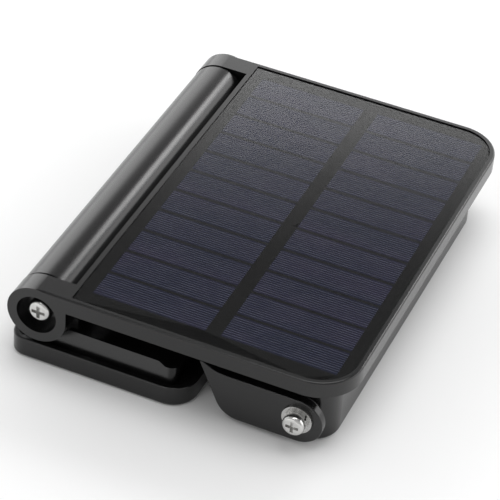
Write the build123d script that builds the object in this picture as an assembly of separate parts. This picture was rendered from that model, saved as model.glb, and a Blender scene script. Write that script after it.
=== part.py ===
from build123d import *
import os

# Folding solar wall lamp: panel with battery box, hinged lamp head, swinging wall bracket.
# X runs across the panel, Y along the hinges, Z up. The origin is under the middle of the
# folded lamp, on the face it rests on.

# ---- overall sizes ----
WIDTH = 125.0            # hinge side to free side
LENGTH = 161.5           # along the hinges
HEIGHT = 32.0            # folded, resting face to panel top
FRAME_T = 6.8            # panel frame edge
FRAME_CORNER = 16.0
HINGE_R = 11.2           # knuckle radius
BARREL_R = HINGE_R - 0.2

# ---- clearances ----
RUN_FIT = 0.05           # radial, pin turning in a bore
SLIDE_FIT = 0.08         # radial, button in its hole
GAP = 0.3                # between bodies that move past each other
LOOSE = 0.2              # around pieces dropped into a pocket

# ---- places that follow from the sizes ----
X_RIGHT = WIDTH / 2
X_LEFT = -X_RIGHT
Y_END = LENGTH / 2
HINGE_X = X_LEFT + HINGE_R
HINGE_Z = HEIGHT - HINGE_R
FRAME_Z = HEIGHT - FRAME_T

# ---- panel frame ----
RIM_W = 1.9              # wall around the cover plate
COVER_SUNK = 0.1         # cover plate below the rim
COVER_T = 0.4
COVER_GAP = 0.15         # around the cover and its board, both glued in
CELL_T = 0.3
PV_BOARD_T = 2.2
BOND_T = 0.4
FLOOR_T = 1.6
SLOT_RIGHT = HINGE_X + HINGE_R - 0.5
KNUCKLE_W = 8.85
SLOT_END = Y_END - KNUCKLE_W
COVER_LEFT = SLOT_RIGHT + 1.8
COVER_TOP = HEIGHT - COVER_SUNK
CELL_TOP = COVER_TOP - COVER_T
BOARD_TOP = CELL_TOP - CELL_T
POCKET_Z = BOARD_TOP - PV_BOARD_T - BOND_T
FLOOR_Z = POCKET_Z - FLOOR_T
RIB_T = 1.4
RIB_Z = FRAME_Z + 0.4
RIB_COUNT = 4
RIB_PITCH = 25.0
RIB_FIRST = -Y_END + 30.75
BOND_PADS = 4
BOND_EDGE = Y_END - 20.75
BOND_W = 12.0

# ---- solar cells ----
STRIP_ROWS = 11
STRIP_MARGIN_X = 4.85
STRIP_MARGIN_Y = 5.755
STRIP_GAP_X = 5.7
STRIP_GAP_Y = 0.9
STRIP_W = (X_RIGHT - RIM_W - COVER_LEFT - STRIP_GAP_X) / 2 - STRIP_MARGIN_X
STRIP_PITCH = 2 * (Y_END - RIM_W - STRIP_MARGIN_Y) / STRIP_ROWS

# ---- battery box ----
BOX_W = 32.0
BOX_X1 = X_RIGHT - 6.4
BOX_X0 = BOX_X1 - BOX_W
BOX_END = Y_END - 7.0
BOX_WALL = 2.2
BOX_FLOOR = 2.4
BOX_CORNER = 10.0
GASKET_T = 0.6
BOX_TOP = FLOOR_Z - GASKET_T
COLUMN_R = 4.2
COLUMN_TOP = BOX_TOP - 4.8
SPIGOT_R = 3.2            # frame boss that meets each screw column
BOX_SCREW_R = 1.2
BOX_HEAD_R = 2.7
BOX_HEAD_T = 2.0
BOX_SEAT_Z = BOX_FLOOR + 0.6
LEFT_COLUMN_X = BOX_X0 + BOX_WALL + COLUMN_R
RIGHT_COLUMN_X = BOX_X1 - BOX_WALL - COLUMN_R
NEAR_COLUMN_Y = Y_END - 20.2
SIDE_COLUMN_Y = Y_END - 14.8

# ---- battery and control board ----
CELL_R = 9.2
CELL_LEN = 65.2
CRADLE_W = 22.0
CRADLE_SADDLE = 7.0
CELL_X = BOX_X0 + BOX_WALL + CRADLE_W / 2 + 0.8
CELL_Z = BOX_FLOOR + CELL_R + 1.4
CELL_LOW = -BOX_END + 17.95
CELL_HIGH = CELL_LOW + CELL_LEN
MID_COLUMN_Y = CELL_HIGH + COLUMN_R + 1.0
BOARD_W = 20.0
BOARD_LEN = 35.2
BOARD_X0 = BOX_X0 + BOX_WALL + 2.2
BOARD_X1 = BOARD_X0 + BOARD_W
BOARD_Y0 = MID_COLUMN_Y + COLUMN_R + 1.6
BOARD_Y1 = BOARD_Y0 + BOARD_LEN
BOARD_Z = BOX_FLOOR + 5.6
BOARD_T = 1.6
BOARD_HOLE = 2.6         # board screw in from the board's edges
POST_R = 2.4
SMALL_SCREW_R = 0.9
PLUG_H = 5.0
SWITCH_W = 6.0
SWITCH_H = 3.0
TAB_T = 0.3
WIRE_R = 0.75
PV_HOLE_X = BOARD_X0 + 3.6
PV_HOLE_Y = BOARD_Y0 + 9.6
PV_HOLE_R = 2.6
BUTTON_X = BOARD_X0 + 11.6
BUTTON_Y = BOARD_Y0 + 25.6
BUTTON_R = 4.0
BUTTON_TRAVEL = 0.6
BUTTON_Z = 0.8
BUTTON_STEM_R = 1.5

# ---- pivot of the wall bracket ----
PIVOT_X = BOX_X1 - 10.4
PIVOT_Z = BOX_TOP / 2 - 0.9
PIVOT_R = 2.0
INSERT_R = 2.8
INSERT_DEPTH = 8.0
PIVOT_BOSS_R = 5.0
ARM_T = 3.0
ARM_INNER = BOX_END + 1.4
ARM_OUTER = ARM_INNER + ARM_T
ARM_R = 9.0
ARM_Z = PIVOT_Z - 1.3
PLATE_LEAN = 24.7        # degrees off upright
PLATE_REACH = PIVOT_X - BOX_X0 + 7.5   # pivot to the wall face
PLATE_TOP = FRAME_Z - 2.6
PLATE_T = 3.0
PLATE_TIP = 1.2          # thickness left at the arm's upper tip
ARM_NOTCH = 5.2          # where the arm's top edge starts to rise to the tip
ARM_FILLET = 9.0
NOTCH_FILLET = 12.0
WALL_HOLE_R = 2.25
WALL_HOLE_SPACING = 100.0
WALL_HOLE_Z = PIVOT_Z + 0.7
FLAT_WASHER_T = 0.9
SPRING_WASHER_T = 1.1
PIVOT_HEAD_T = 3.0
PIVOT_HEAD_R = 4.0

# ---- lamp hinge ----
COUNTERBORE_R = HINGE_R - 3.6
COUNTERBORE_DEPTH = 5.0
HINGE_SCREW_R = 1.75
HINGE_HEAD_R = 4.4
HINGE_HEAD_T = 3.6
HINGE_SCREW_LEN = 13.0
HINGE_WASHER_T = 0.6
HINGE_INSERT_R = 3.2
HINGE_INSERT_LEN = 9.0
BARREL_END = SLOT_END - HINGE_WASHER_T - GAP
BUSH_R = 4.0
BUSH_BORE = 2.6
BARREL_BORE = BARREL_R - 2.8
BARREL_CAP = 10.5
GRIP_COUNT = 22
GRIP_PITCH = 6.25
GRIP_W = 1.9
GRIP_DEPTH = 0.9

# ---- lamp head ----
LAMP_X0 = X_LEFT
LAMP_X1 = BOX_X0 - 17.8
LAMP_END = Y_END - 0.25
LAMP_CORNER = 9.5
LAMP_HINGE_CORNER = 6.0
LAMP_WALL = 1.9
LAMP_H = HINGE_Z - HINGE_R - 1.8   # rim clears the knuckles
FRONT_T = 2.0
LAMP_GASKET_T = 0.8
BACK_Z = FRONT_T + LAMP_GASKET_T
BACK_T = 1.8
TRAY_Z = BACK_Z + BACK_T
RIDGE_TOP = LAMP_H + 3.2
RIDGE_STEP = RIDGE_TOP - 1.1           # lower step at the ridge's free end
RIDGE_WALL = 1.6
RIDGE_CORNER = 3.5
RIDGE_Y_TOP = Y_END - 8.4
RIDGE_Y_BASE = Y_END - 3.9
RIDGE_X_TOP = LAMP_X1 - 14.3
RIDGE_X_BASE = LAMP_X1 - 6.7
RIDGE_END_SLOPE = 0.8
NECK_X0 = HINGE_X - 6.5
CAVITY_X0 = HINGE_X + 9.3
CAVITY_X1 = RIDGE_X_TOP - 0.6
CAVITY_END = RIDGE_Y_TOP - 2.2
CUT_R = HINGE_R + 1.8
WINDOW_X0 = CAVITY_X0 + 1.0
WINDOW_X1 = CAVITY_X1 - 1.4
WINDOW_Y0 = -CAVITY_END + 20.15
WINDOW_Y1 = CAVITY_END - 4.15
WINDOW_CORNER = 3.0
LED_BOARD_Z = TRAY_Z + 2.3
LED_BOARD_T = 1.2
LED_ROWS = 11
LED_COLUMNS = 4
LED_PITCH_X = 7.4
LED_PITCH_Y = 10.4
LED_T = 0.7
PIR_X = (WINDOW_X0 + WINDOW_X1) / 2
PIR_Y = WINDOW_Y0 - 12.0
PIR_R = 6.0
LAMP_SCREW_X = (HINGE_X, LAMP_X1 - 10.6)
LAMP_SCREW_Y = (-LAMP_END + 22.5, 0.0, LAMP_END - 22.5)
LAMP_SCREW_R = 1.1
LAMP_HEAD_R = 2.3
LAMP_SEAT_Z = FRONT_T - 0.7
LAMP_SCREW_TOP = TRAY_Z + 2.8
LEAD_R = 1.1
LEAD_Y = BOARD_Y1 - 0.6
GROMMET_Z = BOX_TOP - 4.8
GROMMET_R = 2.0
BARREL_LEAD_Y = BARREL_END - 31.0
NECK_LEAD_Z = TRAY_Z + 3.2
UNDER_Z = FRAME_Z + 0.6
CHAMBER_Y = Y_END - COUNTERBORE_DEPTH + 1.6


# ---- small helpers ----
def box(x0, x1, y0, y1, z0, z1):
    centre = Pos((x0 + x1) / 2, (y0 + y1) / 2, (z0 + z1) / 2)
    return centre * Box(x1 - x0, y1 - y0, z1 - z0)


def rod_y(x, z, radius, y0, y1):
    return Pos(x, (y0 + y1) / 2, z) * Rot(90, 0, 0) * Cylinder(radius, y1 - y0)


def rod_z(x, y, radius, z0, z1):
    return Pos(x, y, (z0 + z1) / 2) * Cylinder(radius, z1 - z0)


def outline(x0, x1, y0, y1, right_corner, left_corner=0.0):
    """A rectangle with its own corner radius on the free side and on the hinge side."""
    shape = Pos((x0 + x1) / 2, (y0 + y1) / 2) * Rectangle(x1 - x0, y1 - y0)
    shape = fillet(shape.vertices().sort_by(Axis.X)[-2:], right_corner)
    if left_corner:
        shape = fillet(shape.vertices().sort_by(Axis.X)[:2], left_corner)
    return shape


def round_plate(x0, x1, y0, y1, z0, z1, corner):
    return Pos(0, 0, z0) * extrude(outline(x0, x1, y0, y1, corner, corner), amount=z1 - z0)


def right_rounded(x0, x1, y0, y1, z0, z1, corner):
    """A plate rounded at its two free-side corners only."""
    return Pos(0, 0, z0) * extrude(outline(x0, x1, y0, y1, corner), amount=z1 - z0)


def lamp_plate(inset, z0, z1):
    """The lamp head's outline, shrunk by inset all round."""
    shape = outline(LAMP_X0 + inset, LAMP_X1 - inset, -LAMP_END + inset, LAMP_END - inset,
                    LAMP_CORNER - inset, LAMP_HINGE_CORNER - inset)
    return Pos(0, 0, z0) * extrude(shape, amount=z1 - z0)


def both_ends(shape):
    return shape + mirror(shape, about=Plane.XZ)


def group(shapes):
    return Compound(children=[piece for shape in shapes for piece in shape.solids()])


def along_y(outline_points, y0, y1):
    """A prism along Y from points given as (x, z)."""
    wire = Polyline(*[(x, 0, z) for x, z in outline_points], close=True)
    face = make_face(wire)
    return Pos(0, y0, 0) * extrude(face, amount=y1 - y0, dir=(0, 1, 0))


def lead(points, radius=LEAD_R, bend=1.6):
    """A wire laid through the points with rounded bends."""
    path = FilletPolyline(*points, radius=bend)
    start = Plane(origin=path @ 0, z_dir=path % 0)
    return sweep(start * Circle(radius), path=path)


def pan_head(radius, height):
    """Pan head with a cross recess, seat at z = 0, head upward."""
    head = Pos(0, 0, height / 2) * Cylinder(radius, height)
    head = fillet(head.edges().sort_by(Axis.Z)[-1], height * 0.5)
    slot = Pos(0, 0, height) * Box(radius * 1.15, radius * 0.3, height * 0.9)
    return head - slot - Rot(0, 0, 90) * slot


def screw(head_radius, head_height, shank_radius, length):
    """Cross-recess screw, seat at z = 0, shank down."""
    shank = Pos(0, 0, -length / 2) * Cylinder(shank_radius, length)
    tip = shank.edges().sort_by(Axis.Z)[0]
    return pan_head(head_radius, head_height) + chamfer(tip, shank_radius * 0.4)


def washer(outer, inner, thickness):
    ring = Cylinder(outer, thickness) - Cylinder(inner, thickness * 2)
    return Pos(0, 0, thickness / 2) * ring


def at_near_end(shape, x, y, z):
    """Turn a piece drawn along +Z to face the near end."""
    return Pos(x, y, z) * Rot(90, 0, 0) * shape


# ---- panel ----
def box_columns():
    return [
        (LEFT_COLUMN_X, -SIDE_COLUMN_Y),
        (LEFT_COLUMN_X, MID_COLUMN_Y),
        (LEFT_COLUMN_X, SIDE_COLUMN_Y),
        (RIGHT_COLUMN_X, -NEAR_COLUMN_Y),
        (RIGHT_COLUMN_X, MID_COLUMN_Y),
        (RIGHT_COLUMN_X, NEAR_COLUMN_Y),
    ]


def make_panel_frame():
    plate = right_rounded(HINGE_X, X_RIGHT, -Y_END, Y_END, FRAME_Z, HEIGHT, FRAME_CORNER)
    top_edges = plate.faces().sort_by(Axis.Z)[-1].edges().filter_by_position(
        Axis.X, HINGE_X + 1, X_RIGHT + 1)
    plate = fillet(top_edges, 0.7)
    bottom_edges = plate.faces().sort_by(Axis.Z)[0].edges().filter_by_position(
        Axis.X, HINGE_X + 1, X_RIGHT + 1)
    plate = chamfer(bottom_edges, 0.5)
    plate -= box(X_LEFT, SLOT_RIGHT, -SLOT_END, SLOT_END, FRAME_Z - 1, HEIGHT + 1)
    plate -= right_rounded(COVER_LEFT, X_RIGHT - RIM_W, -Y_END + RIM_W, Y_END - RIM_W,
                           POCKET_Z, HEIGHT + 1, FRAME_CORNER - RIM_W)
    plate -= right_rounded(COVER_LEFT, X_RIGHT - RIM_W, -Y_END + RIM_W, Y_END - RIM_W,
                           FRAME_Z - 1, FLOOR_Z, FRAME_CORNER - RIM_W)
    for i in range(RIB_COUNT):
        y = RIB_FIRST + i * RIB_PITCH
        plate += box(COVER_LEFT - 0.5, BOX_X0 - 0.6, y - RIB_T / 2, y + RIB_T / 2,
                     RIB_Z, FLOOR_Z + 0.1)
    knuckle = rod_y(HINGE_X, HINGE_Z, HINGE_R, SLOT_END, Y_END)
    knuckle += box(HINGE_X, HINGE_X + HINGE_R, SLOT_END, Y_END, HINGE_Z, FRAME_Z + 1)
    frame = plate + both_ends(knuckle)
    seat = Y_END - COUNTERBORE_DEPTH
    frame -= both_ends(rod_y(HINGE_X, HINGE_Z, COUNTERBORE_R, seat, Y_END + 1))
    frame -= rod_y(HINGE_X, HINGE_Z, HINGE_SCREW_R + RUN_FIT, -Y_END, -SLOT_END + 1)
    frame -= rod_y(HINGE_X, HINGE_Z, BUSH_R, SLOT_END - 1, Y_END)
    frame -= Pos(HINGE_X + 9, CHAMBER_Y, UNDER_Z) * Rot(0, 90, 0) * Cylinder(LEAD_R + LOOSE, 14)
    for x, y in box_columns():
        frame += rod_z(x, y, SPIGOT_R, COLUMN_TOP + LOOSE, FLOOR_Z + 0.1)
        frame -= rod_z(x, y, BOX_SCREW_R, COLUMN_TOP, FLOOR_Z + 0.4)
    frame -= rod_z(PV_HOLE_X, PV_HOLE_Y, PV_HOLE_R, FLOOR_Z - 1, POCKET_Z + 1)
    return frame


def make_pv_cover():
    return right_rounded(COVER_LEFT + COVER_GAP, X_RIGHT - RIM_W - COVER_GAP,
                         -Y_END + RIM_W + COVER_GAP, Y_END - RIM_W - COVER_GAP,
                         CELL_TOP, COVER_TOP, FRAME_CORNER - RIM_W - COVER_GAP)


def strip_boxes(z0, z1):
    first = -STRIP_PITCH * STRIP_ROWS / 2
    left = COVER_LEFT + STRIP_MARGIN_X
    strips = []
    for column in range(2):
        x0 = left + column * (STRIP_W + STRIP_GAP_X)
        for row in range(STRIP_ROWS):
            y0 = first + row * STRIP_PITCH + STRIP_GAP_Y / 2
            y1 = y0 + STRIP_PITCH - STRIP_GAP_Y
            strips.append(box(x0, x0 + STRIP_W, y0, y1, z0, z1))
    return strips


def make_pv_cells():
    return group(strip_boxes(BOARD_TOP, CELL_TOP))


def make_pv_board():
    board = right_rounded(COVER_LEFT + COVER_GAP, X_RIGHT - RIM_W - COVER_GAP,
                          -Y_END + RIM_W + COVER_GAP, Y_END - RIM_W - COVER_GAP,
                          BOARD_TOP - PV_BOARD_T, CELL_TOP, FRAME_CORNER - RIM_W - COVER_GAP)
    for pocket in strip_boxes(BOARD_TOP, CELL_TOP + 1):
        board -= pocket
    return board


def make_pv_bond():
    pads = []
    for i in range(BOND_PADS):
        y0 = -BOND_EDGE + i * 2 * BOND_EDGE / (BOND_PADS - 1) - BOND_W / 2
        y1 = y0 + BOND_W
        pads.append(box(COVER_LEFT + 8, BOX_X0 - 8, y0, y1, POCKET_Z, POCKET_Z + BOND_T))
        pads.append(box(BOX_X0 + 12, X_RIGHT - 8, y0, y1, POCKET_Z, POCKET_Z + BOND_T))
    return group(pads)


# ---- battery box ----
def make_battery_box():
    tub = round_plate(BOX_X0, BOX_X1, -BOX_END, BOX_END, 0, BOX_TOP, BOX_CORNER)
    tub = fillet(tub.faces().sort_by(Axis.Z)[0].edges(), 1.0)
    tub -= round_plate(BOX_X0 + BOX_WALL, BOX_X1 - BOX_WALL, -BOX_END + BOX_WALL,
                       BOX_END - BOX_WALL, BOX_FLOOR, BOX_TOP + 1, BOX_CORNER - BOX_WALL)
    for x, y in box_columns():
        tub += rod_z(x, y, COLUMN_R, BOX_FLOOR - 0.1, COLUMN_TOP)
    boss = rod_y(PIVOT_X, PIVOT_Z, PIVOT_BOSS_R, BOX_END - INSERT_DEPTH - 1.2, BOX_END - 1.0)
    tub += both_ends(boss)
    for x, y in board_posts():
        tub += rod_z(x, y, POST_R, BOX_FLOOR - 0.1, BOARD_Z)
        tub -= rod_z(x, y, SMALL_SCREW_R, BOARD_Z - 4.5, BOARD_Z + 1)
    for x, y in box_columns():
        tub -= rod_z(x, y, BOX_SCREW_R + 0.3, 1, COLUMN_TOP + 1)
        tub -= rod_z(x, y, BOX_HEAD_R + 0.2, -1, BOX_SEAT_Z)
    tub -= both_ends(rod_y(PIVOT_X, PIVOT_Z, INSERT_R, BOX_END - INSERT_DEPTH, BOX_END + 1))
    tub -= rod_z(BUTTON_X, BUTTON_Y, BUTTON_R + SLIDE_FIT, -1, BOX_FLOOR + 1)
    tub -= Pos(BUTTON_X, BUTTON_Y, 0) * Cone(BUTTON_R + 3.0, BUTTON_R + 1.4, 1.6)
    tub -= Pos(BOX_X0, LEAD_Y, GROMMET_Z) * Rot(0, 90, 0) * Cylinder(GROMMET_R, 8)
    return tub


def make_box_gasket():
    outer = round_plate(BOX_X0, BOX_X1, -BOX_END, BOX_END, BOX_TOP, FLOOR_Z, BOX_CORNER)
    inner = round_plate(BOX_X0 + 1.8, BOX_X1 - 1.8, -BOX_END + 1.8, BOX_END - 1.8,
                        BOX_TOP - 1, FLOOR_Z + 1, BOX_CORNER - 1.8)
    return outer - inner


def make_box_screws():
    length = FLOOR_Z - BOX_SEAT_Z - 0.4
    screws = []
    for x, y in box_columns():
        piece = screw(BOX_HEAD_R, BOX_HEAD_T, BOX_SCREW_R, length)
        screws.append(Pos(x, y, BOX_SEAT_Z) * Rot(180, 0, 0) * piece)
    return group(screws)


def make_battery_cell():
    body = rod_y(CELL_X, CELL_Z, CELL_R, CELL_LOW, CELL_HIGH - 1.2)
    body = fillet(body.edges().filter_by(GeomType.CIRCLE), 0.6)
    button = rod_y(CELL_X, CELL_Z, 3.2, CELL_HIGH - 1.3, CELL_HIGH)
    return body + button


def make_battery_cradle():
    saddles = []
    half = CRADLE_SADDLE / 2
    for y in (CELL_LOW + 10.6, CELL_HIGH - 10.6):
        block = box(CELL_X - CRADLE_W / 2, CELL_X + CRADLE_W / 2, y - half, y + half, BOX_FLOOR, CELL_Z + 4.0)
        block -= rod_y(CELL_X, CELL_Z, CELL_R + 0.02, y - 5, y + 5)
        saddles.append(block)
    spine = box(CELL_X - 4.0, CELL_X + 4.0, CELL_LOW + 13.6, CELL_HIGH - 13.6, BOX_FLOOR, BOX_FLOOR + 1.2)
    return saddles[0] + saddles[1] + spine


def make_battery_tabs():
    return group([
        box(CELL_X - 3.4, CELL_X + 3.4, CELL_LOW - TAB_T, CELL_LOW, CELL_Z - 4, CELL_Z + 7),
        box(CELL_X - 3.4, CELL_X + 3.4, CELL_HIGH, CELL_HIGH + TAB_T, CELL_Z - 4, CELL_Z + 7),
    ])


def make_battery_leads():
    plug_x, plug_y = connector_places()[0]
    plug_top = BOARD_Z + BOARD_T + PLUG_H
    tab_z = CELL_Z + 5.5
    high = CELL_HIGH + TAB_T
    low = CELL_LOW - TAB_T
    over = CELL_Z + CELL_R + 1.1
    x = plug_x + 1.5
    positive = lead([(x, high, tab_z), (x, plug_y, tab_z), (x, plug_y, plug_top)], WIRE_R)
    x = plug_x - 1.5
    negative = lead([(x, low, tab_z), (x, low - 2.2, tab_z), (x, low - 2.2, over),
                     (x, plug_y, over), (x, plug_y, plug_top)], WIRE_R)
    return group([positive, negative])


def board_posts():
    columns = (BOARD_X0 + BOARD_HOLE, BOARD_X1 - BOARD_HOLE)
    return [(x, y) for x in columns for y in (BOARD_Y0 + BOARD_HOLE, BOARD_Y1 - BOARD_HOLE)]


def make_control_board():
    board = box(BOARD_X0, BOARD_X1, BOARD_Y0, BOARD_Y1, BOARD_Z, BOARD_Z + BOARD_T)
    for x, y in board_posts():
        board -= rod_z(x, y, SMALL_SCREW_R + 0.3, BOARD_Z - 1, BOARD_Z + BOARD_T + 1)
    return board


def make_board_screws():
    piece = screw(1.9, 1.3, SMALL_SCREW_R, 5.0)
    return group([Pos(x, y, BOARD_Z + BOARD_T) * piece for x, y in board_posts()])


def make_board_parts():
    """Charger chip, choke, capacitor, two diodes and a sense resistor."""
    top = BOARD_Z + BOARD_T
    x = BOARD_X0
    y = BOARD_Y0
    return group([
        box(x + 4.5, x + 9.5, y + 12.6, y + 18.6, top, top + 1.6),
        box(x + 12.0, x + 17.0, y + 11.6, y + 16.6, top, top + 3.0),
        rod_z(x + 6.5, y + 21.6, 2.5, top, top + 7.0),
        box(x + 12.0, x + 14.0, y + 19.1, y + 23.1, top, top + 1.0),
        box(x + 15.5, x + 17.5, y + 19.1, y + 23.1, top, top + 1.0),
        box(x + 4.5, x + 6.1, y + 8.2, y + 11.4, top, top + 0.8),
    ])


def connector_places():
    return [
        (CELL_X + 0.4, BOARD_Y0 + 4.5),
        (BOARD_X0 + 12.9, BOARD_Y1 - 4.5),
        (BOARD_X0 + 7.2, BOARD_Y1 - 7.6),
    ]


def make_board_connectors():
    top = BOARD_Z + BOARD_T
    sizes = ((7.0, 5.0), (4.6, 5.0), (4.6, 5.0))
    plugs = []
    for (x, y), (sx, sy) in zip(connector_places(), sizes):
        plugs.append(box(x - sx / 2, x + sx / 2, y - sy / 2, y + sy / 2, top, top + PLUG_H))
    return group(plugs)


def make_panel_leads():
    x, y = connector_places()[1]
    plug_top = BOARD_Z + BOARD_T + PLUG_H
    run_z = BOX_TOP - 3.2
    pair = []
    for shift in (-0.9, 0.9):
        start_x = x + shift
        end_x = PV_HOLE_X + shift
        rise = [(start_x, y, plug_top), (start_x, y, run_z)]
        path = rise + [(end_x, PV_HOLE_Y, run_z), (end_x, PV_HOLE_Y, POCKET_Z)]
        pair.append(lead(path, 0.7))
    return group(pair)


def make_switch_body():
    half = SWITCH_W / 2
    low = BOARD_Z - SWITCH_H
    return box(BUTTON_X - half, BUTTON_X + half, BUTTON_Y - half, BUTTON_Y + half, low, BOARD_Z)


def make_power_button():
    cap = rod_z(BUTTON_X, BUTTON_Y, BUTTON_R, BUTTON_Z, BOX_FLOOR + GAP + 0.1)
    cap = fillet(cap.edges().sort_by(Axis.Z)[0], 0.6)
    flange = rod_z(BUTTON_X, BUTTON_Y, BUTTON_R + 1.0, BOX_FLOOR + GAP, BOX_FLOOR + GAP + 0.8)
    stem_top = BOARD_Z - SWITCH_H - GAP - BUTTON_TRAVEL
    return cap + flange + rod_z(BUTTON_X, BUTTON_Y, BUTTON_STEM_R, BOX_FLOOR + GAP, stem_top)


def make_pivot_inserts():
    insert = rod_y(PIVOT_X, PIVOT_Z, INSERT_R, BOX_END - INSERT_DEPTH, BOX_END)
    insert -= rod_y(PIVOT_X, PIVOT_Z, PIVOT_R + RUN_FIT, BOX_END - 9, BOX_END + 1)
    return group([both_ends(insert)])


def make_pivot_pads():
    pad = rod_y(PIVOT_X, PIVOT_Z, 7.0, BOX_END, ARM_INNER - GAP)
    pad -= rod_y(PIVOT_X, PIVOT_Z, INSERT_R + 0.4, BOX_END - 1, ARM_INNER)
    return group([both_ends(pad)])


# ---- lamp hinge ----
def make_hinge_screw():
    seat = -Y_END + COUNTERBORE_DEPTH
    piece = screw(HINGE_HEAD_R, HINGE_HEAD_T, HINGE_SCREW_R, HINGE_SCREW_LEN)
    return at_near_end(piece, HINGE_X, seat, HINGE_Z)


def make_hinge_bush():
    start = BARREL_END - 5.0
    seat = Y_END - COUNTERBORE_DEPTH
    tube = rod_y(HINGE_X, HINGE_Z, BUSH_R, start, seat)
    tube += rod_y(HINGE_X, HINGE_Z, BUSH_R + 1.4, seat, seat + 0.5)
    tube -= rod_y(HINGE_X, HINGE_Z, BUSH_BORE, start - 1, seat + 1)
    return tube


def make_hinge_cap():
    cap = rod_y(HINGE_X, HINGE_Z, COUNTERBORE_R - 0.05, Y_END - 1.5, Y_END - 0.4)
    return chamfer(cap.edges().sort_by(Axis.Y)[-1], 0.3)


def make_hinge_washers():
    ring = rod_y(HINGE_X, HINGE_Z, BARREL_R - 2.6, SLOT_END - HINGE_WASHER_T, SLOT_END)
    ring -= rod_y(HINGE_X, HINGE_Z, BUSH_R + 0.2, SLOT_END - 2, SLOT_END + 1)
    return group([both_ends(ring)])


def make_hinge_insert():
    start = -BARREL_END
    end = start + HINGE_INSERT_LEN
    insert = rod_y(HINGE_X, HINGE_Z, HINGE_INSERT_R, start, end)
    insert -= rod_y(HINGE_X, HINGE_Z, HINGE_SCREW_R + RUN_FIT, start - 1, end + 1)
    return insert


def make_lamp_feed():
    x, y = connector_places()[2]
    plug_top = BOARD_Z + BOARD_T + PLUG_H
    outside = BOX_X0 - 5.0
    run_x = HINGE_X + 20.0
    return lead([(x, y, plug_top), (x, y, GROMMET_Z), (x, LEAD_Y, GROMMET_Z), (outside, LEAD_Y, GROMMET_Z),
                 (outside, LEAD_Y, UNDER_Z), (run_x, LEAD_Y, UNDER_Z), (run_x, CHAMBER_Y, UNDER_Z),
                 (HINGE_X, CHAMBER_Y, UNDER_Z), (HINGE_X, CHAMBER_Y, HINGE_Z),
                 (HINGE_X, BARREL_END - 0.5, HINGE_Z)])


def make_box_grommet():
    ring = Pos(BOX_X0 + BOX_WALL / 2, LEAD_Y, GROMMET_Z) * Rot(0, 90, 0) * Cylinder(GROMMET_R, BOX_WALL)
    lip = Pos(BOX_X0 - 0.5, LEAD_Y, GROMMET_Z) * Rot(0, 90, 0) * Cylinder(GROMMET_R + 1.2, 1.0)
    bore = Pos(BOX_X0, LEAD_Y, GROMMET_Z) * Rot(0, 90, 0) * Cylinder(LEAD_R + 0.35, 12)
    return ring + lip - bore


# ---- wall bracket ----
def plate_direction():
    return Vector(0, 0, 1).rotate(Axis.Y, -PLATE_LEAN)


def bracket_outline():
    """Side shape of the bracket in the XZ plane, as a face."""
    up = plate_direction()
    out = Vector(-1, 0, 0).rotate(Axis.Y, -PLATE_LEAN)
    foot = Vector(PIVOT_X, 0, PIVOT_Z) + out * PLATE_REACH
    low_z = ARM_Z - ARM_R
    high_z = ARM_Z + ARM_R
    bottom = foot + up * ((low_z - foot.Z) / up.Z)
    top = foot + up * ((PLATE_TOP - foot.Z) / up.Z)
    top_in = top - out * PLATE_TIP
    notch = foot - out * ARM_NOTCH
    notch += up * ((high_z - notch.Z) / up.Z)
    points = [bottom, top, top_in, notch, Vector(PIVOT_X, 0, high_z), Vector(PIVOT_X, 0, low_z)]
    wire = Polyline(*points, close=True)
    face = make_face(wire)
    corners = face.vertices()
    face = fillet([v for v in corners if (Vector(v) - bottom).length < 0.01], ARM_FILLET)
    face = fillet([v for v in face.vertices() if (Vector(v) - notch).length < 0.01], NOTCH_FILLET)
    face = fillet([v for v in face.vertices() if (Vector(v) - top).length < 0.01
                   or (Vector(v) - top_in).length < 0.01], PLATE_TIP / 3)
    return face, foot, up, out


def extrude_y(face, y0, y1):
    return Pos(0, y0, 0) * extrude(face, amount=y1 - y0, dir=(0, 1, 0))


def make_wall_bracket():
    face, foot, up, out = bracket_outline()
    arm = extrude_y(face, ARM_INNER, ARM_OUTER) + rod_y(PIVOT_X, ARM_Z, ARM_R, ARM_INNER, ARM_OUTER)
    outer_side = arm.faces().sort_by(Axis.Y)[-1].edges()
    arm = fillet(outer_side, 0.5)
    arm -= rod_y(PIVOT_X, PIVOT_Z, PIVOT_R + RUN_FIT, ARM_INNER - 1, ARM_OUTER + 1)
    corners = [foot + up * s + out * t for s, t in ((-40, 1), (40, 1), (40, -PLATE_T), (-40, -PLATE_T))]
    slab = along_y([(corner.X, corner.Z) for corner in corners], -ARM_INNER - 1, ARM_INNER + 1)
    plate = extrude_y(face, -ARM_INNER - 1, ARM_INNER + 1) & slab
    bracket = both_ends(arm) + plate
    centre = foot + up * ((WALL_HOLE_Z - foot.Z) / up.Z)
    for y in (-WALL_HOLE_SPACING / 2, 0, WALL_HOLE_SPACING / 2):
        place = Plane(origin=(centre.X, y, centre.Z), z_dir=out)
        bracket -= place * Cylinder(WALL_HOLE_R, 20)
    return bracket


def make_pivot_screws():
    seat = -ARM_OUTER - FLAT_WASHER_T - SPRING_WASHER_T
    piece = screw(PIVOT_HEAD_R, PIVOT_HEAD_T, PIVOT_R, 13.0)
    return group([both_ends(at_near_end(piece, PIVOT_X, seat, PIVOT_Z))])


def make_pivot_flat_washers():
    ring = washer(5.5, PIVOT_R + 0.2, FLAT_WASHER_T)
    ring = chamfer(ring.edges().sort_by(Axis.Z)[-1], 0.15)
    return group([both_ends(at_near_end(ring, PIVOT_X, -ARM_OUTER, PIVOT_Z))])


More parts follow.
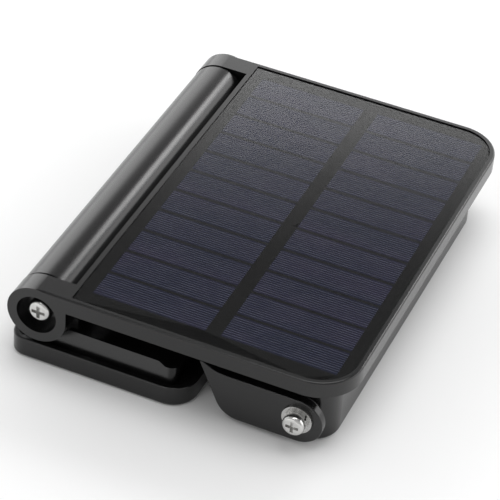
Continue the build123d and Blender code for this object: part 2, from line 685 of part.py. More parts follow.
def make_pivot_spring_washers():
    ring = washer(4.4, PIVOT_R + 0.2, SPRING_WASHER_T)
    split = Rot(0, 0, 40) * Pos(3.2, 0, SPRING_WASHER_T / 2) * Rot(25, 0, 0) * Box(4, 0.7, 4)
    ring -= split
    return group([both_ends(at_near_end(ring, PIVOT_X, -ARM_OUTER - FLAT_WASHER_T, PIVOT_Z))])


# ---- lamp head ----
def ridge_block():
    """The raised back of the lamp head: sloped sides, and a lower step at its free end."""
    lean = (RIDGE_Y_BASE - RIDGE_Y_TOP) / (RIDGE_TOP - BACK_Z)
    y_step = RIDGE_Y_TOP + lean * (RIDGE_TOP - RIDGE_STEP)
    x_step = RIDGE_X_BASE - RIDGE_END_SLOPE
    base = Pos(0, 0, BACK_Z) * outline(NECK_X0, RIDGE_X_BASE, -RIDGE_Y_BASE, RIDGE_Y_BASE, RIDGE_CORNER)
    step = Pos(0, 0, RIDGE_STEP) * outline(NECK_X0, x_step, -y_step, y_step, RIDGE_CORNER)
    crest_base = Pos(0, 0, RIDGE_STEP) * outline(NECK_X0, RIDGE_X_TOP + 2.6, -y_step, y_step, 0.3)
    crest = Pos(0, 0, RIDGE_TOP) * outline(NECK_X0, RIDGE_X_TOP, -RIDGE_Y_TOP, RIDGE_Y_TOP, 0.3)
    return loft([base, step]) + loft([crest_base, crest])


def make_lamp_back():
    body = lamp_plate(LAMP_WALL + LOOSE, BACK_Z, TRAY_Z)
    body += ridge_block()
    neck_end = BARREL_END - 0.2
    body -= both_ends(rod_y(HINGE_X, HINGE_Z, CUT_R, neck_end, Y_END))
    body += rod_y(HINGE_X, HINGE_Z, BARREL_R, -BARREL_END, BARREL_END)
    body += box(NECK_X0, CAVITY_X0 + 2, -neck_end, neck_end, BACK_Z, HINGE_Z - 5)
    body -= rod_y(HINGE_X, HINGE_Z, BARREL_BORE, -BARREL_END + BARREL_CAP, BARREL_END - BARREL_CAP)
    body -= rod_y(HINGE_X, HINGE_Z, HINGE_INSERT_R, -BARREL_END - 1, -BARREL_END + HINGE_INSERT_LEN)
    body -= rod_y(HINGE_X, HINGE_Z, BUSH_R + RUN_FIT, BARREL_END - BARREL_CAP - 1, BARREL_END + 1)
    body -= box(CAVITY_X0, CAVITY_X1, -CAVITY_END, CAVITY_END, BACK_Z - 1, RIDGE_TOP - RIDGE_WALL)
    for x, y in led_board_posts():
        body += rod_z(x, y, POST_R, LED_BOARD_Z + LED_BOARD_T, RIDGE_TOP - RIDGE_WALL + 0.1)
        body -= rod_z(x, y, SMALL_SCREW_R, LED_BOARD_Z, RIDGE_TOP - 0.6)
    for x in LAMP_SCREW_X:
        for y in LAMP_SCREW_Y:
            body -= rod_z(x, y, LAMP_SCREW_R, BACK_Z - 1, LAMP_SCREW_TOP)
    body -= box(HINGE_X - 1.6, CAVITY_X0 + 1, BARREL_LEAD_Y - 2, BARREL_LEAD_Y + 2,
                NECK_LEAD_Z - 2, NECK_LEAD_Z + 2)
    body -= rod_z(HINGE_X, BARREL_LEAD_Y, 2.0, NECK_LEAD_Z, HINGE_Z)
    first = -GRIP_PITCH * (GRIP_COUNT - 1) / 2
    for i in range(GRIP_COUNT):
        y = first + i * GRIP_PITCH
        body -= box(X_LEFT - 1, HINGE_X - BARREL_R + GRIP_DEPTH, y - GRIP_W / 2, y + GRIP_W / 2,
                    HINGE_Z - 6, HINGE_Z + 6)
    return body


def make_lamp_bezel():
    shell = lamp_plate(0, 0, LAMP_H)
    shell = fillet(shell.faces().sort_by(Axis.Z)[0].edges(), 0.8)
    shell = fillet(shell.faces().sort_by(Axis.Z)[-1].edges(), 0.6)
    shell -= lamp_plate(LAMP_WALL, FRONT_T, LAMP_H + 1)
    shell -= round_plate(WINDOW_X0, WINDOW_X1, WINDOW_Y0, WINDOW_Y1, -1, FRONT_T + 1, WINDOW_CORNER)
    shell -= round_plate(WINDOW_X0 - 2, WINDOW_X1 + 2, WINDOW_Y0 - 2, WINDOW_Y1 + 2,
                         FRONT_T - 1.0, FRONT_T + 1, WINDOW_CORNER + 2)
    shell -= rod_z(PIR_X, PIR_Y, PIR_R, -1, FRONT_T + 1)
    for x in LAMP_SCREW_X:
        for y in LAMP_SCREW_Y:
            shell -= rod_z(x, y, LAMP_SCREW_R + 0.3, -1, FRONT_T + 1)
            shell -= rod_z(x, y, LAMP_HEAD_R + LOOSE, -1, LAMP_SEAT_Z)
    return shell


def make_lamp_gasket():
    outer = LAMP_WALL + 0.6
    return lamp_plate(outer, FRONT_T, BACK_Z) - lamp_plate(outer + 2.6, FRONT_T - 1, BACK_Z + 1)


def make_lamp_lens():
    plate = round_plate(WINDOW_X0 - 1.8, WINDOW_X1 + 1.8, WINDOW_Y0 - 1.8, WINDOW_Y1 + 1.8,
                        FRONT_T - 1.0, FRONT_T, WINDOW_CORNER + 1.8)
    face = round_plate(WINDOW_X0 + 0.1, WINDOW_X1 - 0.1, WINDOW_Y0 + 0.1, WINDOW_Y1 - 0.1,
                       0.3, FRONT_T - 0.9, WINDOW_CORNER - 0.1)
    return plate + face


def led_places():
    x0 = (WINDOW_X0 + WINDOW_X1) / 2 - LED_PITCH_X * (LED_COLUMNS - 1) / 2
    y0 = (WINDOW_Y0 + WINDOW_Y1) / 2 - LED_PITCH_Y * (LED_ROWS - 1) / 2
    return [(x0 + i * LED_PITCH_X, y0 + j * LED_PITCH_Y) for i in range(LED_COLUMNS) for j in range(LED_ROWS)]


def led_board_posts():
    return [(x, y) for x in (CAVITY_X0 + 3.2, CAVITY_X1 - 3.2) for y in (WINDOW_Y0 + 2, WINDOW_Y1 + 1)]


def make_lamp_reflector():
    x0 = WINDOW_X0 - 0.4
    x1 = WINDOW_X1 + 0.4
    y0 = WINDOW_Y0 + 8.6
    y1 = WINDOW_Y1 - 4.0
    top = LED_BOARD_Z - LED_T - 0.1
    tray = box(x0, x1, y0, y1, FRONT_T + 0.1, top)
    tray -= box(x0 + 0.8, x1 - 0.8, y0 + 0.8, y1 - 0.8, FRONT_T - 1, top - 0.9)
    for x, y in led_places():
        if y0 + 3 < y < y1 - 3:
            tray -= rod_z(x, y, 2.6, FRONT_T, top + 1)
    return tray


def make_led_board():
    board = box(CAVITY_X0 + 0.4, CAVITY_X1 - 0.4, -CAVITY_END + 0.6, CAVITY_END - 0.4,
                LED_BOARD_Z, LED_BOARD_Z + LED_BOARD_T)
    for x, y in led_board_posts():
        board -= rod_z(x, y, SMALL_SCREW_R + 0.2, LED_BOARD_Z - 1, LED_BOARD_Z + LED_BOARD_T + 1)
    return board


def make_leds():
    y0 = WINDOW_Y0 + 8.6
    y1 = WINDOW_Y1 - 4.0
    chips = []
    for x, y in led_places():
        if y0 + 3 < y < y1 - 3:
            chips.append(box(x - 1.4, x + 1.4, y - 1.75, y + 1.75, LED_BOARD_Z - LED_T, LED_BOARD_Z))
    return group(chips)


def make_led_board_screws():
    piece = Rot(180, 0, 0) * screw(1.9, 1.3, SMALL_SCREW_R, 3.2)
    return group([Pos(x, y, LED_BOARD_Z) * piece for x, y in led_board_posts()])


def make_pir_sensor():
    base = rod_z(PIR_X, PIR_Y, 4.6, LED_BOARD_Z - 0.6, LED_BOARD_Z)
    face = FRONT_T + 1.4
    can = rod_z(PIR_X, PIR_Y, 4.1, face, LED_BOARD_Z - 0.5)
    window = box(PIR_X - 2, PIR_X + 2, PIR_Y - 1.5, PIR_Y + 1.5, face - 0.1, face + 0.1)
    return base + can - window


def make_pir_lens():
    skirt = rod_z(PIR_X, PIR_Y, PIR_R - 0.1, 0.9, FRONT_T + 0.1)
    lip = rod_z(PIR_X, PIR_Y, PIR_R + 1.0, FRONT_T, FRONT_T + 0.7)
    dome = Pos(PIR_X, PIR_Y, 7.6) * Sphere(7.3) & rod_z(PIR_X, PIR_Y, PIR_R - 0.4, 0.2, 3.0)
    hollow = Pos(PIR_X, PIR_Y, 7.9) * Sphere(6.6)
    return skirt + lip + dome - hollow - rod_z(PIR_X, PIR_Y, 4.4, 2.2, 4)


def make_lamp_screws():
    piece = Rot(180, 0, 0) * screw(LAMP_HEAD_R, 1.2, LAMP_SCREW_R, LAMP_SCREW_TOP - LAMP_SEAT_Z - 0.1)
    return group([Pos(x, y, LAMP_SEAT_Z) * piece for x in LAMP_SCREW_X for y in LAMP_SCREW_Y])


def make_barrel_lead():
    return lead([(HINGE_X, BARREL_END - 1.5, HINGE_Z), (HINGE_X, BARREL_LEAD_Y, HINGE_Z),
                 (HINGE_X, BARREL_LEAD_Y, NECK_LEAD_Z), (CAVITY_X0 - 0.6, BARREL_LEAD_Y, NECK_LEAD_Z)], 0.9)


PIECES = {
    "panel_frame": make_panel_frame,
    "pv_cover": make_pv_cover,
    "pv_cells": make_pv_cells,
    "pv_board": make_pv_board,
    "pv_bond": make_pv_bond,
    "battery_box": make_battery_box,
    "box_gasket": make_box_gasket,
    "box_screws": make_box_screws,
    "battery_cell": make_battery_cell,
    "battery_cradle": make_battery_cradle,
    "battery_tabs": make_battery_tabs,
    "battery_leads": make_battery_leads,
    "control_board": make_control_board,
    "board_screws": make_board_screws,
    "board_parts": make_board_parts,
    "board_connectors": make_board_connectors,
    "panel_leads": make_panel_leads,
    "switch_body": make_switch_body,
    "power_button": make_power_button,
    "pivot_inserts": make_pivot_inserts,
    "pivot_pads": make_pivot_pads,
    "hinge_screw": make_hinge_screw,
    "hinge_bush": make_hinge_bush,
    "hinge_cap": make_hinge_cap,
    "hinge_washers": make_hinge_washers,
    "hinge_insert": make_hinge_insert,
    "lamp_feed": make_lamp_feed,
    "box_grommet": make_box_grommet,
    "wall_bracket": make_wall_bracket,
    "pivot_screws": make_pivot_screws,
    "pivot_flat_washers": make_pivot_flat_washers,
    "pivot_spring_washers": make_pivot_spring_washers,
    "lamp_back": make_lamp_back,
    "lamp_bezel": make_lamp_bezel,
    "lamp_gasket": make_lamp_gasket,
    "lamp_lens": make_lamp_lens,
    "lamp_reflector": make_lamp_reflector,
    "led_board": make_led_board,
    "leds": make_leds,
    "led_board_screws": make_led_board_screws,
    "pir_sensor": make_pir_sensor,
    "pir_lens": make_pir_lens,
    "lamp_screws": make_lamp_screws,
    "barrel_lead": make_barrel_lead,
}

os.makedirs("parts", exist_ok=True)
for name, make in PIECES.items():
    export_step(make(), f"parts/{name}.step")
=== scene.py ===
import math

import bmesh
import bpy
from mathutils import Matrix, Vector


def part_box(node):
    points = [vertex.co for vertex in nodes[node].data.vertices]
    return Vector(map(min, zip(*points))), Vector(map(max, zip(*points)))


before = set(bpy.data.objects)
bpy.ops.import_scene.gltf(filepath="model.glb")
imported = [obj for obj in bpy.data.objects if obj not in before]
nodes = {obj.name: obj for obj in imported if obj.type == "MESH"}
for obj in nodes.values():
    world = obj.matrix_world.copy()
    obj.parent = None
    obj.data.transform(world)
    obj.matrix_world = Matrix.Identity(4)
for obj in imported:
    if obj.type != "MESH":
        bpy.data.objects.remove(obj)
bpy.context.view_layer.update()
MM = 0.001
STRIP_ROWS = 11
STRIP_GAP = 0.9 * MM
FINGERS_PER_STRIP = 12
cells_low, cells_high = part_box("pv_cells")
STRIP_PITCH = (cells_high.y - cells_low.y + STRIP_GAP) / STRIP_ROWS
FINGER_PITCH = STRIP_PITCH / FINGERS_PER_STRIP


# ---- node helpers ----
class Shader:
    """A material under construction: adds nodes and links them by name."""

    def __init__(self, name):
        self.material = bpy.data.materials.new(name)
        self.material.use_nodes = True
        self.tree = self.material.node_tree
        self.tree.nodes.clear()
        self.out = self.add("ShaderNodeOutputMaterial")
        self.surface = self.add("ShaderNodeBsdfPrincipled")
        self.link(self.surface.outputs["BSDF"], self.out.inputs["Surface"])
        self.coordinates = self.add("ShaderNodeTexCoord").outputs["Object"]

    def add(self, kind, **settings):
        node = self.tree.nodes.new(kind)
        for key, value in settings.items():
            setattr(node, key, value)
        return node

    def link(self, source, target):
        self.tree.links.new(source, target)

    def set(self, **values):
        for key, value in values.items():
            socket = self.surface.inputs[key.replace("_", " ")]
            if isinstance(value, (int, float, tuple, list)):
                socket.default_value = value
            else:
                self.link(value, socket)

    def math(self, operation, a, b=0.0, clamp=False):
        node = self.add("ShaderNodeMath", operation=operation, use_clamp=clamp)
        for index, value in enumerate((a, b)):
            if isinstance(value, (int, float)):
                node.inputs[index].default_value = value
            else:
                self.link(value, node.inputs[index])
        return node.outputs[0]

    def noise(self, size, detail=3.0, roughness=0.55, stretch=(1, 1, 1)):
        """Noise whose features are about size metres across."""
        mapping = self.add("ShaderNodeMapping")
        mapping.inputs["Scale"].default_value = [s / size for s in stretch]
        self.link(self.coordinates, mapping.inputs["Vector"])
        node = self.add("ShaderNodeTexNoise")
        node.inputs["Scale"].default_value = 1.0
        node.inputs["Detail"].default_value = detail
        node.inputs["Roughness"].default_value = roughness
        self.link(mapping.outputs[0], node.inputs["Vector"])
        return node.outputs["Fac"]

    def ramp(self, value, stops):
        """stops: (position, grey or colour)."""
        node = self.add("ShaderNodeValToRGB")
        elements = node.color_ramp.elements
        while len(elements) < len(stops):
            elements.new(0.5)
        for element, (position, colour) in zip(elements, stops):
            element.position = position
            element.color = colour if isinstance(colour, tuple) else (colour, colour, colour, 1)
        self.link(value, node.inputs[0])
        return node.outputs[0]

    def mix(self, factor, a, b):
        node = self.add("ShaderNodeMix", data_type="RGBA")
        for socket, value in ((node.inputs[0], factor), (node.inputs[6], a), (node.inputs[7], b)):
            if isinstance(value, (int, float, tuple)):
                socket.default_value = value
            else:
                self.link(value, socket)
        return node.outputs[2]

    def bump(self, height, distance, strength):
        node = self.add("ShaderNodeBump")
        node.inputs["Strength"].default_value = strength
        node.inputs["Distance"].default_value = distance
        self.link(height, node.inputs["Height"])
        return node.outputs[0]

    def edges(self, radius):
        """1 on convex edges, 0 on flats: the mask for edge wear and a painted edge highlight."""
        bevel = self.add("ShaderNodeBevel", samples=4)
        bevel.inputs["Radius"].default_value = radius
        geometry = self.add("ShaderNodeNewGeometry")
        dot = self.add("ShaderNodeVectorMath", operation="DOT_PRODUCT")
        self.link(bevel.outputs[0], dot.inputs[0])
        self.link(geometry.outputs["Normal"], dot.inputs[1])
        return self.math("MULTIPLY", self.math("SUBTRACT", 1.0, dot.outputs["Value"]), 6.0, clamp=True)

    def wave(self, axis, pitch, duty, centre=0.0):
        """1 on stripes of the given duty, spaced by pitch metres along an axis."""
        split = self.add("ShaderNodeSeparateXYZ")
        self.link(self.coordinates, split.inputs[0])
        position = self.math("ADD", split.outputs[axis], 100 * pitch - centre)
        within = self.math("FRACT", self.math("DIVIDE", position, pitch))
        away = self.math("ABSOLUTE", self.math("SUBTRACT", within, 0.5))
        return self.math("LESS_THAN", away, duty / 2)


def rgb(r, g, b):
    return (r, g, b, 1.0)


# ---- materials ----
def moulded(name, dark, light, roughness, texture=0.00002, wear_and_highlight=0.05):
    """Injection-moulded plastic: fine spark texture, faint flow shading, slightly polished convex edges
    painted lighter, partly as wear and partly as a painted highlight.
    """
    m = Shader(name)
    cloud = m.noise(18 * MM, detail=5.0)
    fine = m.noise(0.35 * MM, detail=2.0, roughness=0.6)
    base = m.mix(m.ramp(cloud, [(0.35, 0.0), (0.65, 1.0)]), dark, light)
    edge = m.edges(0.35 * MM)
    polished_highlit_edge = m.math("MULTIPLY", edge, m.noise(1.6 * MM, detail=4.0))
    # Lighter colour on convex edges: partly edge wear, partly a painted highlight along the rounded edges.
    edge_wear_highlight_colour = rgb(*[min(1.0, c * 2.2 + wear_and_highlight) for c in light[:3]])
    m.set(Base_Color=m.mix(m.math("MULTIPLY", polished_highlit_edge, 0.35), base, edge_wear_highlight_colour))
    rough = m.math("ADD", roughness - 0.05, m.math("MULTIPLY", fine, 0.1))
    rough = m.math("SUBTRACT", rough, m.math("MULTIPLY", polished_highlit_edge, 0.1), clamp=True)
    m.set(Roughness=rough, Normal=m.bump(fine, texture, 0.6))
    m.surface.inputs["IOR"].default_value = 1.5
    return m.material


def shell_plastic():
    return moulded("abs_shell", rgb(0.0042, 0.0042, 0.0044), rgb(0.0060, 0.0060, 0.0062), 0.20,
                   texture=0.000004, wear_and_highlight=0.02)


def barrel_plastic():
    return moulded("abs_barrel", rgb(0.0042, 0.0042, 0.0044), rgb(0.0058, 0.0058, 0.0060), 0.235,
                   texture=0.000006, wear_and_highlight=0.02)


def laminated(m):
    """Puts the clear laminate's gloss over a printed surface."""
    m.surface.inputs["Specular IOR Level"].default_value = 0.0
    m.surface.inputs["Coat Weight"].default_value = 1.0
    m.surface.inputs["Coat Roughness"].default_value = 0.08
    m.surface.inputs["Coat IOR"].default_value = 1.5
    return m.material


def cell_silicon():
    """Screen-printed strips: violet to blue silicon, silver fingers across X, mottled grain."""
    m = Shader("cell_silicon")
    cloud = m.noise(30 * MM, detail=3.0)
    strip = m.noise(STRIP_PITCH, detail=1.0, stretch=(0.05, 1, 0.05))
    tone = m.math("ADD", m.math("MULTIPLY", cloud, 0.5), m.math("MULTIPLY", strip, 0.5))
    silicon = m.ramp(tone, [(0.36, rgb(0.0050, 0.0075, 0.0190)), (0.5, rgb(0.0085, 0.0095, 0.0225)),
                            (0.66, rgb(0.0140, 0.0120, 0.0280))])
    grain = m.noise(0.5 * MM, detail=4.0, stretch=(0.35, 1, 1))
    silicon = m.mix(m.math("MULTIPLY", grain, 0.3), silicon, rgb(0.018, 0.018, 0.036))
    finger = m.wave("Y", FINGER_PITCH, 0.17)
    broken = m.ramp(m.noise(2.2 * MM, detail=3.0, stretch=(0.3, 1, 1)), [(0.3, 0.45), (0.6, 1.0)])
    silver = m.math("MULTIPLY", finger, broken)
    colour = m.mix(m.math("MULTIPLY", silver, 0.36), silicon, rgb(0.17, 0.18, 0.21))
    border = m.wave("Y", STRIP_PITCH, 0.105, centre=STRIP_PITCH * 0.5 * (STRIP_ROWS + 1))
    m.set(Base_Color=m.mix(m.math("MULTIPLY", border, 0.85), colour, rgb(0.004, 0.004, 0.006)))
    m.set(Roughness=m.ramp(silver, [(0.0, 0.33), (1.0, 0.42)]))
    m.set(Normal=m.bump(silver, 0.00003, 0.5))
    return laminated(m)


def board_mask():
    """Black solder mask of the border and the gap between the two columns."""
    m = Shader("board_mask")
    speck = m.noise(0.6 * MM, detail=3.0)
    m.set(Base_Color=m.mix(speck, rgb(0.0040, 0.0041, 0.0041), rgb(0.0060, 0.0061, 0.0060)))
    m.set(Roughness=m.ramp(speck, [(0.2, 0.42), (0.8, 0.5)]), Normal=m.bump(speck, 0.000002, 0.3))
    return laminated(m)


def cover_film():
    """Clear laminate bonded to the cells: a faint tint here, its gloss is on the surface right under it."""
    m = Shader("cover_film")
    haze = m.noise(24 * MM, detail=4.0)
    m.set(Base_Color=rgb(0.0, 0.0, 0.0), Alpha=m.ramp(haze, [(0.3, 0.015), (0.7, 0.03)]), Roughness=0.1)
    m.surface.inputs["Specular IOR Level"].default_value = 0.0
    return m.material


def metal(name, dark, light, roughness, scratch=(1, 1, 1), size=0.8):
    """Plated or turned metal with fine marks and slightly dull patches."""
    m = Shader(name)
    marks = m.noise(size * MM, detail=5.0, stretch=scratch)
    dull = m.noise(2.4 * MM, detail=3.0)
    m.set(Base_Color=m.mix(marks, dark, light), Metallic=1.0)
    rough = m.math("ADD", roughness - 0.06, m.math("MULTIPLY", dull, 0.14))
    m.set(Roughness=rough, Normal=m.bump(marks, 0.000012, 0.5))
    return m.material


def soft(name, dark, light, roughness, grain=0.5, bump=0.00002):
    """Rubber, foam, nylon or sleeve: matte with a fine grain."""
    m = Shader(name)
    fine = m.noise(grain * MM, detail=4.0)
    cloud = m.noise(9 * MM, detail=3.0)
    base = m.mix(m.ramp(cloud, [(0.3, 0.0), (0.7, 1.0)]), dark, light)
    m.set(Base_Color=base, Normal=m.bump(fine, bump, 0.7))
    m.set(Roughness=m.math("ADD", roughness - 0.05, m.math("MULTIPLY", fine, 0.1), clamp=True))
    return m.material


def printed_board(name, dark, light):
    """Solder mask with faint copper traces under it."""
    m = Shader(name)
    cells = m.add("ShaderNodeTexVoronoi", feature="DISTANCE_TO_EDGE", distance="MANHATTAN")
    cells.inputs["Scale"].default_value = 420.0
    cells.inputs["Randomness"].default_value = 0.7
    m.link(m.coordinates, cells.inputs["Vector"])
    trace = m.ramp(cells.outputs["Distance"], [(0.05, 1.0), (0.09, 0.0)])
    m.set(Base_Color=m.mix(trace, dark, light), Normal=m.bump(trace, 0.00003, 0.5))
    m.set(Roughness=m.ramp(m.noise(1.5 * MM), [(0.3, 0.3), (0.7, 0.42)]))
    return m.material


def frosted():
    """Pale diffusing window with fine ribs across it."""
    m = Shader("frosted_window")
    fine = m.noise(0.6 * MM, detail=2.0)
    ribs = m.wave("Y", 2.6 * MM, 0.5)
    m.set(Base_Color=m.mix(m.noise(14 * MM), rgb(0.80, 0.81, 0.80), rgb(0.86, 0.865, 0.855)))
    m.set(Transmission_Weight=0.55, Roughness=m.math("ADD", 0.34, m.math("MULTIPLY", fine, 0.12)))
    height = m.math("ADD", m.math("MULTIPLY", ribs, 0.6), m.math("MULTIPLY", fine, 0.2))
    m.set(Normal=m.bump(height, 0.00006, 0.5))
    m.surface.inputs["IOR"].default_value = 1.58
    return m.material


def phosphor():
    """Yellow phosphor of the white LEDs."""
    m = Shader("phosphor")
    fine = m.noise(0.3 * MM, detail=3.0)
    m.set(Base_Color=m.mix(fine, rgb(0.80, 0.62, 0.10), rgb(0.88, 0.72, 0.20)))
    m.set(Normal=m.bump(fine, 0.00001, 0.5))
    m.set(Roughness=m.math("ADD", 0.4, m.math("MULTIPLY", fine, 0.15)))
    return m.material


def dome_lens():
    """Milky faceted lens of the motion sensor; the facet grooves carry painted shade."""
    m = Shader("pir_dome")
    facets = m.add("ShaderNodeTexVoronoi", feature="DISTANCE_TO_EDGE")
    facets.inputs["Scale"].default_value = 420.0
    m.link(m.coordinates, facets.inputs["Vector"])
    groove_relief_and_shade = m.ramp(facets.outputs["Distance"], [(0.0, 0.0), (0.12, 1.0)])
    # Darker colour in the facet grooves is painted shade; the same mask also drives the groove bump.
    m.set(Base_Color=m.mix(groove_relief_and_shade, rgb(0.66, 0.67, 0.66), rgb(0.80, 0.81, 0.80)))
    m.set(Normal=m.bump(groove_relief_and_shade, 0.0001, 0.6))
    m.set(Roughness=m.math("ADD", 0.3, m.math("MULTIPLY", m.noise(3 * MM), 0.1)))
    m.surface.inputs["Subsurface Weight"].default_value = 0.15
    m.surface.inputs["Subsurface Radius"].default_value = (0.002, 0.002, 0.002)
    return m.material


# ---- which node wears what ----
shell = shell_plastic()
barrel = barrel_plastic()
nickel = metal("nickel_plate", rgb(0.50, 0.50, 0.49), rgb(0.70, 0.695, 0.68), 0.20)
washer_nickel = metal("washer_plate", rgb(0.42, 0.42, 0.41), rgb(0.58, 0.575, 0.565), 0.26, size=0.5)
black_oxide = metal("black_oxide", rgb(0.035, 0.035, 0.037), rgb(0.06, 0.06, 0.062), 0.42)
brass = metal("brass_turned", rgb(0.60, 0.42, 0.17), rgb(0.76, 0.56, 0.26), 0.28, scratch=(1, 6, 1))
tin = metal("tin_strip", rgb(0.58, 0.575, 0.56), rgb(0.72, 0.71, 0.70), 0.34, scratch=(5, 1, 1))
white_abs = moulded("abs_white", rgb(0.70, 0.70, 0.68), rgb(0.78, 0.78, 0.76), 0.42)
seal = soft("seal_rubber", rgb(0.012, 0.012, 0.012), rgb(0.022, 0.022, 0.022), 0.72)
grey_rubber = soft("grey_rubber", rgb(0.10, 0.10, 0.105), rgb(0.15, 0.15, 0.155), 0.62)
nylon = soft("nylon", rgb(0.020, 0.020, 0.021), rgb(0.032, 0.032, 0.033), 0.48)
foam = soft("foam_tape", rgb(0.60, 0.60, 0.57), rgb(0.74, 0.74, 0.70), 0.85, grain=0.9, bump=0.0001)
sleeve = soft("cell_sleeve", rgb(0.02, 0.16, 0.10), rgb(0.035, 0.22, 0.15), 0.32, bump=0.000008)
red_wire = soft("wire_red", rgb(0.32, 0.012, 0.010), rgb(0.42, 0.022, 0.018), 0.45)
black_wire = soft("wire_black", rgb(0.012, 0.012, 0.012), rgb(0.020, 0.020, 0.020), 0.5)
epoxy = soft("epoxy", rgb(0.016, 0.016, 0.017), rgb(0.028, 0.028, 0.029), 0.55)
green_board = printed_board("green_board", rgb(0.010, 0.11, 0.035), rgb(0.025, 0.19, 0.065))
white_board = printed_board("white_board", rgb(0.72, 0.73, 0.71), rgb(0.80, 0.80, 0.77))

finishes = {
    shell: ["panel_frame", "battery_box", "wall_bracket", "lamp_bezel", "hinge_cap"],
    barrel: ["lamp_back"],
    cell_silicon(): ["pv_cells"],
    board_mask(): ["pv_board"],
    cover_film(): ["pv_cover"],
    nickel: ["pivot_screws", "hinge_screw", "board_screws", "led_board_screws"],
    washer_nickel: ["pivot_flat_washers", "pivot_spring_washers"],
    black_oxide: ["box_screws", "lamp_screws"],
    brass: ["hinge_bush", "hinge_insert", "pivot_inserts"],
    tin: ["battery_tabs", "pir_sensor"],
    white_abs: ["lamp_reflector", "battery_cradle", "board_connectors"],
    seal: ["box_gasket", "lamp_gasket", "box_grommet"],
    grey_rubber: ["power_button"],
    nylon: ["pivot_pads", "hinge_washers"],
    foam: ["pv_bond"],
    sleeve: ["battery_cell"],
    red_wire: ["panel_leads", "battery_leads"],
    black_wire: ["lamp_feed", "barrel_lead"],
    epoxy: ["board_parts", "switch_body"],
    green_board: ["control_board"],
    white_board: ["led_board"],
    frosted(): ["lamp_lens"],
    phosphor(): ["leds"],
    dome_lens(): ["pir_lens"],
}
for material, names in finishes.items():
    for name in names:
        piece = nodes[name]
        piece.data.materials.clear()
        piece.data.materials.append(material)


# ---- floor and studio ----
FLOOR_HALF_WIDTH = 6.0
FLOOR_DROP = 0.4 * MM    # below the resting face, so the two never share a plane


def floor_material():
    m = Shader("studio_floor")
    m.set(Base_Color=m.mix(m.noise(60 * MM), rgb(0.86, 0.86, 0.86), rgb(0.88, 0.88, 0.88)), Roughness=0.9)
    m.surface.inputs["Specular IOR Level"].default_value = 0.1
    return m.material


mesh = bpy.data.meshes.new("studio_floor")
grid = bmesh.new()
bmesh.ops.create_grid(grid, x_segments=4, y_segments=4, size=FLOOR_HALF_WIDTH)
grid.to_mesh(mesh)
grid.free()
floor = bpy.data.objects.new("studio_floor", mesh)
floor.location = (0, 0, -FLOOR_DROP)
floor.data.materials.append(floor_material())
bpy.context.scene.collection.objects.link(floor)


def direction(azimuth, elevation):
    """Unit vector; azimuth in degrees from +Y towards +X."""
    a, e = math.radians(azimuth), math.radians(elevation)
    return Vector((math.sin(a) * math.cos(e), math.cos(a) * math.cos(e), math.sin(e)))


def softbox(name, azimuth, elevation, distance, width, height, strength):
    """A rectangular light that faces the object; strength is its radiance."""
    data = bpy.data.lights.new(name, "AREA")
    data.shape = "RECTANGLE"
    data.size = width
    data.size_y = height
    data.energy = strength * math.pi * width * height
    lamp = bpy.data.objects.new(name, data)
    towards = direction(azimuth, elevation)
    lamp.location = towards * distance
    lamp.rotation_euler = towards.to_track_quat("Z", "Y").to_euler()
    bpy.context.scene.collection.objects.link(lamp)


# name, azimuth, elevation, distance, width, height, radiance
softbox("back_right_softbox", 16, 40, 2.0, 0.42, 0.34, 10.0)
softbox("front_fill", 205, 12, 1.6, 1.6, 0.3, 0.9)
softbox("front_top", 195, 58, 1.8, 0.5, 0.22, 6.0)
softbox("overhead", 40, 82, 2.0, 1.3, 1.3, 3.3)

world = bpy.data.worlds.new("studio")
bpy.context.scene.world = world
world.use_nodes = True
tree = world.node_tree
background = tree.nodes["Background"]
place = tree.nodes.new("ShaderNodeTexCoord")
split = tree.nodes.new("ShaderNodeSeparateXYZ")
tree.links.new(place.outputs["Generated"], split.inputs[0])


def world_ramp(source, stops):
    """Levels along a direction: stops are (position, level)."""
    node = tree.nodes.new("ShaderNodeValToRGB")
    elements = node.color_ramp.elements
    while len(elements) < len(stops):
        elements.new(0.5)
    for element, (position, level) in zip(elements, stops):
        element.position = position
        element.color = (level, level, level, 1)
    tree.links.new(source, node.inputs[0])
    return node.outputs[0]


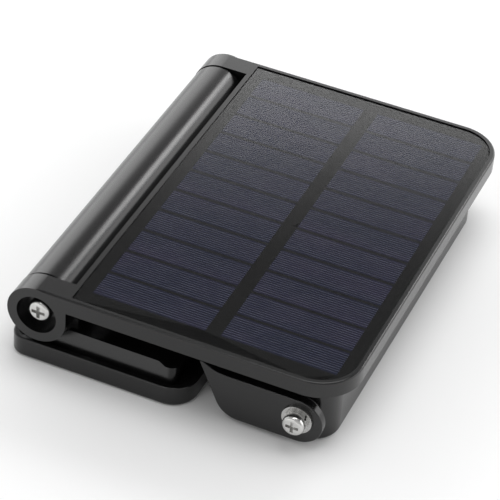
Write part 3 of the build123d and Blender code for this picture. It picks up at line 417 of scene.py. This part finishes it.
# A bright wall behind the table that fades out between 34 and 39 degrees, a dim ceiling, and an even room
# in front. Each stop is the sine of the elevation and the level there.
behind = world_ramp(split.outputs["Z"], [
    (0.0, 2.2), (0.556, 2.8), (0.578, 1.8), (0.6, 0.6), (0.625, 0.25), (1.0, 0.22),
])
front = world_ramp(split.outputs["Z"], [(0.0, 0.9), (0.2, 0.65), (0.5, 0.6), (1.0, 0.30)])
half = tree.nodes.new("ShaderNodeMath")
half.operation = "MULTIPLY_ADD"
half.inputs[1].default_value = 0.5
half.inputs[2].default_value = 0.5
tree.links.new(split.outputs["Y"], half.inputs[0])
side = world_ramp(half.outputs[0], [(0.35, 0.0), (0.65, 1.0)])
blend = tree.nodes.new("ShaderNodeMix")
blend.data_type = "RGBA"
tree.links.new(side, blend.inputs[0])
tree.links.new(front, blend.inputs[6])
tree.links.new(behind, blend.inputs[7])
right_side = world_ramp(split.outputs["X"], [(0.3, 1.0), (0.6, 0.9)])
dimmed = tree.nodes.new("ShaderNodeMix")
dimmed.data_type = "RGBA"
dimmed.blend_type = "MULTIPLY"
dimmed.inputs[0].default_value = 1.0
tree.links.new(blend.outputs[2], dimmed.inputs[6])
tree.links.new(right_side, dimmed.inputs[7])
tree.links.new(dimmed.outputs[2], background.inputs["Color"])

# ---- camera ----
AZIMUTH = math.radians(20.894)       # from -Y towards +X
ELEVATION = math.radians(38.716)
ROLL = math.radians(4.644)
DISTANCE = 0.8313
TARGET = Vector((4.19, -26.46, 32.0)) * MM
LENS_MM = 171.2
SENSOR_MM = 36.0
level = math.cos(ELEVATION)
back = Vector((math.sin(AZIMUTH) * level, -math.cos(AZIMUTH) * level, math.sin(ELEVATION)))
right = Vector((math.cos(AZIMUTH), math.sin(AZIMUTH), 0))
up = right.cross(-back)
across = right * math.cos(ROLL) + up * math.sin(ROLL)
upward = up * math.cos(ROLL) - right * math.sin(ROLL)
data = bpy.data.cameras.new("photo_view")
data.lens = LENS_MM
data.sensor_width = SENSOR_MM
data.clip_start = 0.01
camera = bpy.data.objects.new("photo_view", data)
camera.matrix_world = Matrix.Translation(TARGET + back * DISTANCE) @ Matrix(
    (across, upward, back)).transposed().to_4x4()
bpy.context.scene.collection.objects.link(camera)
bpy.context.scene.camera = camera
bpy.context.scene.view_settings.view_transform = "Standard"
bpy.context.scene.view_settings.look = "None"
